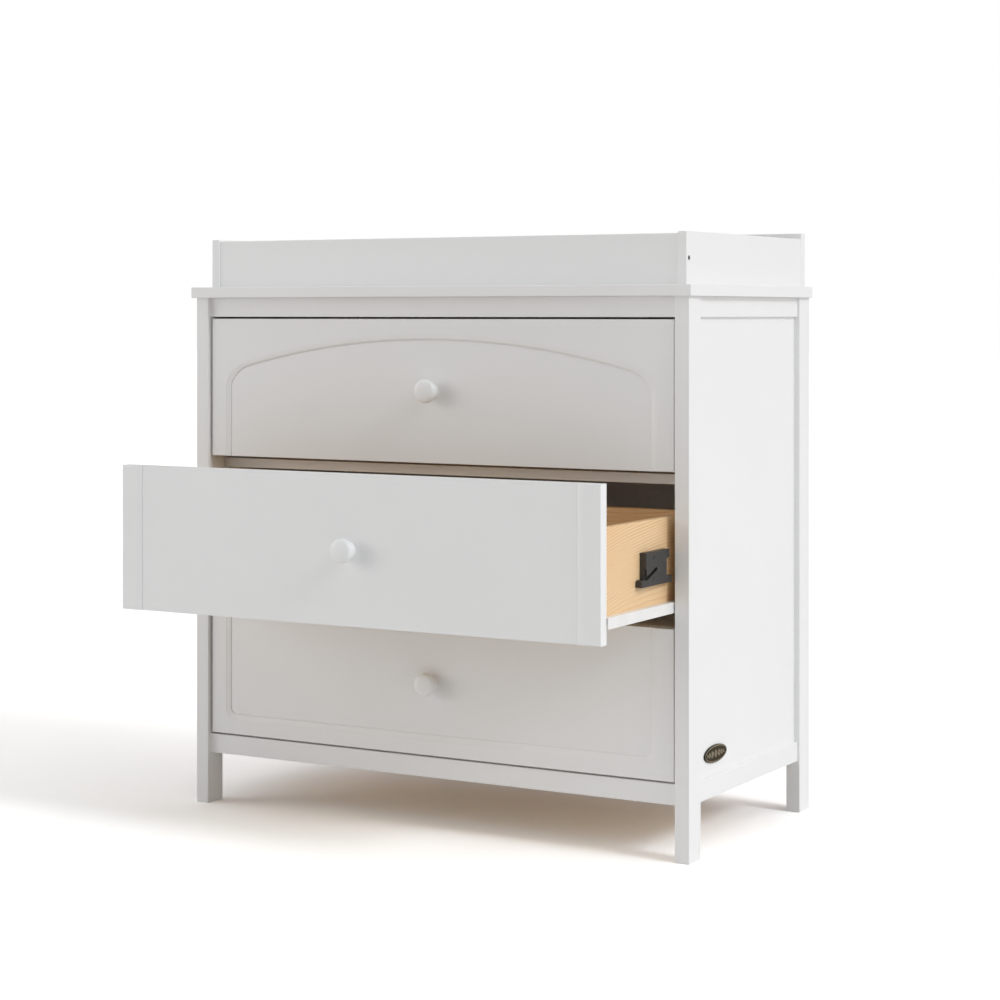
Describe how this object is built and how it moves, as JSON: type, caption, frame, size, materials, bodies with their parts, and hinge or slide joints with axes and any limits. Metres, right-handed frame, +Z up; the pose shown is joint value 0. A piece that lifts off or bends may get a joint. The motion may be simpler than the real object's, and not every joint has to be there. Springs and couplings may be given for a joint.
{
  "type": "changing table",
  "caption": "Painted changing table with sliding drawers on roller runners, an arched recess across the drawer fronts, an open topper tray, and a drawer interlock",
  "frame": {"origin": "on the floor, under the middle of the whole object's box with the middle drawer standing open as stored", "axes": "+X to the viewer's right when facing the drawers, +Y to the back, +Z up; the drawers slide out along -Y"},
  "size_m": [0.892, 0.7068, 0.9184],
  "materials": {
    "white_paint": "satin white paint over wood",
    "white_hardboard": "smooth white coated hardboard",
    "pine": "clear satin lacquer over pine",
    "plywood": "bare sanded plywood",
    "beech": "bare fluted dowel",
    "white_steel": "white epoxy coat",
    "nylon": "moulded nylon",
    "black_plastic": "fine moulded texture",
    "screw_steel": "zinc plated, slightly yellow",
    "antique_brass": "darkened antique brass"
  },
  "bodies": {
    "root": {"tabletop": "white_paint", "front_left_post": "white_paint", "front_right_post": "white_paint", "rear_left_post": "white_paint", "rear_right_post": "white_paint", "left_side_panel": "white_paint", "right_side_panel": "white_paint", "left_top_rail": "white_paint", "left_bottom_rail": "white_paint", "right_top_rail": "white_paint", "right_bottom_rail": "white_paint", "front_top_rail": "white_paint", "front_bottom_rail": "white_paint", "rear_rails": "white_paint", "back_panel": "white_hardboard", "drawer_dividers": "white_paint", "side_cleats": "white_paint", "cabinet_runners": "white_steel", "interlock_track": "black_plastic", "topper_front_board": "white_paint", "topper_left_board": "white_paint", "topper_right_board": "white_paint", "topper_back_board": "white_paint", "top_screws": "screw_steel", "oval_badge": "antique_brass", "frame_dowels": "beech"},
    "bottom_drawer": {"bottom_drawer_front": "white_paint", "bottom_drawer_knob": "white_paint", "bottom_drawer_left_side": "pine", "bottom_drawer_right_side": "pine", "bottom_drawer_back": "pine", "bottom_drawer_bottom": "plywood", "bottom_drawer_runners": "white_steel", "bottom_interlock_cam": "black_plastic", "bottom_drawer_fixings": "screw_steel"},
    "middle_drawer": {"middle_drawer_front": "white_paint", "middle_drawer_knob": "white_paint", "middle_drawer_left_side": "pine", "middle_drawer_right_side": "pine", "middle_drawer_back": "pine", "middle_drawer_bottom": "plywood", "middle_drawer_runners": "white_steel", "middle_interlock_cam": "black_plastic", "middle_drawer_fixings": "screw_steel"},
    "top_drawer": {"top_drawer_front": "white_paint", "top_drawer_knob": "white_paint", "top_drawer_left_side": "pine", "top_drawer_right_side": "pine", "top_drawer_back": "pine", "top_drawer_bottom": "plywood", "top_drawer_runners": "white_steel", "top_interlock_cam": "black_plastic", "top_drawer_fixings": "screw_steel"},
    "interlock_rod": {"interlock_rod": "black_plastic"},
    "bottom_front_rollers": {"bottom_front_rollers": "nylon"},
    "bottom_rear_rollers": {"bottom_rear_rollers": "nylon"},
    "middle_front_rollers": {"middle_front_rollers": "nylon"},
    "middle_rear_rollers": {"middle_rear_rollers": "nylon"},
    "top_front_rollers": {"top_front_rollers": "nylon"},
    "top_rear_rollers": {"top_rear_rollers": "nylon"}
  },
  "joints": [
    {"name": "bottom_drawer_slide", "type": "slide", "parent": "root", "child": "bottom_drawer", "axis": [0, -1, 0], "range_m": [0, 0.262]},
    {"name": "middle_drawer_slide", "type": "slide", "parent": "root", "child": "middle_drawer", "axis": [0, -1, 0], "range_m": [-0.2277, 0.0343]},
    {"name": "top_drawer_slide", "type": "slide", "parent": "root", "child": "top_drawer", "axis": [0, -1, 0], "range_m": [0, 0.262]},
    {"name": "bottom_front_roller_spin", "type": "hinge", "parent": "root", "child": "bottom_front_rollers", "pos_m": [0, -0.07565, 0.143], "axis": [1, 0, 0], "range_deg": [-2200, 2200]},
    {"name": "bottom_rear_roller_spin", "type": "hinge", "parent": "bottom_drawer", "child": "bottom_rear_rollers", "pos_m": [0, 0.25535, 0.139], "axis": [1, 0, 0], "range_deg": [-2200, 2200]},
    {"name": "middle_front_roller_spin", "type": "hinge", "parent": "root", "child": "middle_front_rollers", "pos_m": [0, -0.07565, 0.3665], "axis": [1, 0, 0], "range_deg": [-2200, 2200]},
    {"name": "middle_rear_roller_spin", "type": "hinge", "parent": "middle_drawer", "child": "middle_rear_rollers", "pos_m": [0, 0.02765, 0.3625], "axis": [1, 0, 0], "range_deg": [-2200, 2200]},
    {"name": "top_front_roller_spin", "type": "hinge", "parent": "root", "child": "top_front_rollers", "pos_m": [0, -0.07565, 0.59], "axis": [1, 0, 0], "range_deg": [-2200, 2200]},
    {"name": "top_rear_roller_spin", "type": "hinge", "parent": "top_drawer", "child": "top_rear_rollers", "pos_m": [0, 0.25535, 0.586], "axis": [1, 0, 0], "range_deg": [-2200, 2200]},
    {"name": "interlock_lift", "type": "slide", "parent": "root", "child": "interlock_rod", "axis": [0, 0, 1], "range_m": [-0.0123, 0]}
  ],
  "couplings": [
    {"joint": "bottom_front_roller_spin", "follows": "bottom_drawer_slide", "rad_per_m": 142.86},
    {"joint": "bottom_rear_roller_spin", "follows": "bottom_drawer_slide", "rad_per_m": 142.86},
    {"joint": "middle_front_roller_spin", "follows": "middle_drawer_slide", "rad_per_m": 142.86},
    {"joint": "middle_rear_roller_spin", "follows": "middle_drawer_slide", "rad_per_m": 142.86},
    {"joint": "top_front_roller_spin", "follows": "top_drawer_slide", "rad_per_m": 142.86},
    {"joint": "top_rear_roller_spin", "follows": "top_drawer_slide", "rad_per_m": 142.86}
  ]
}
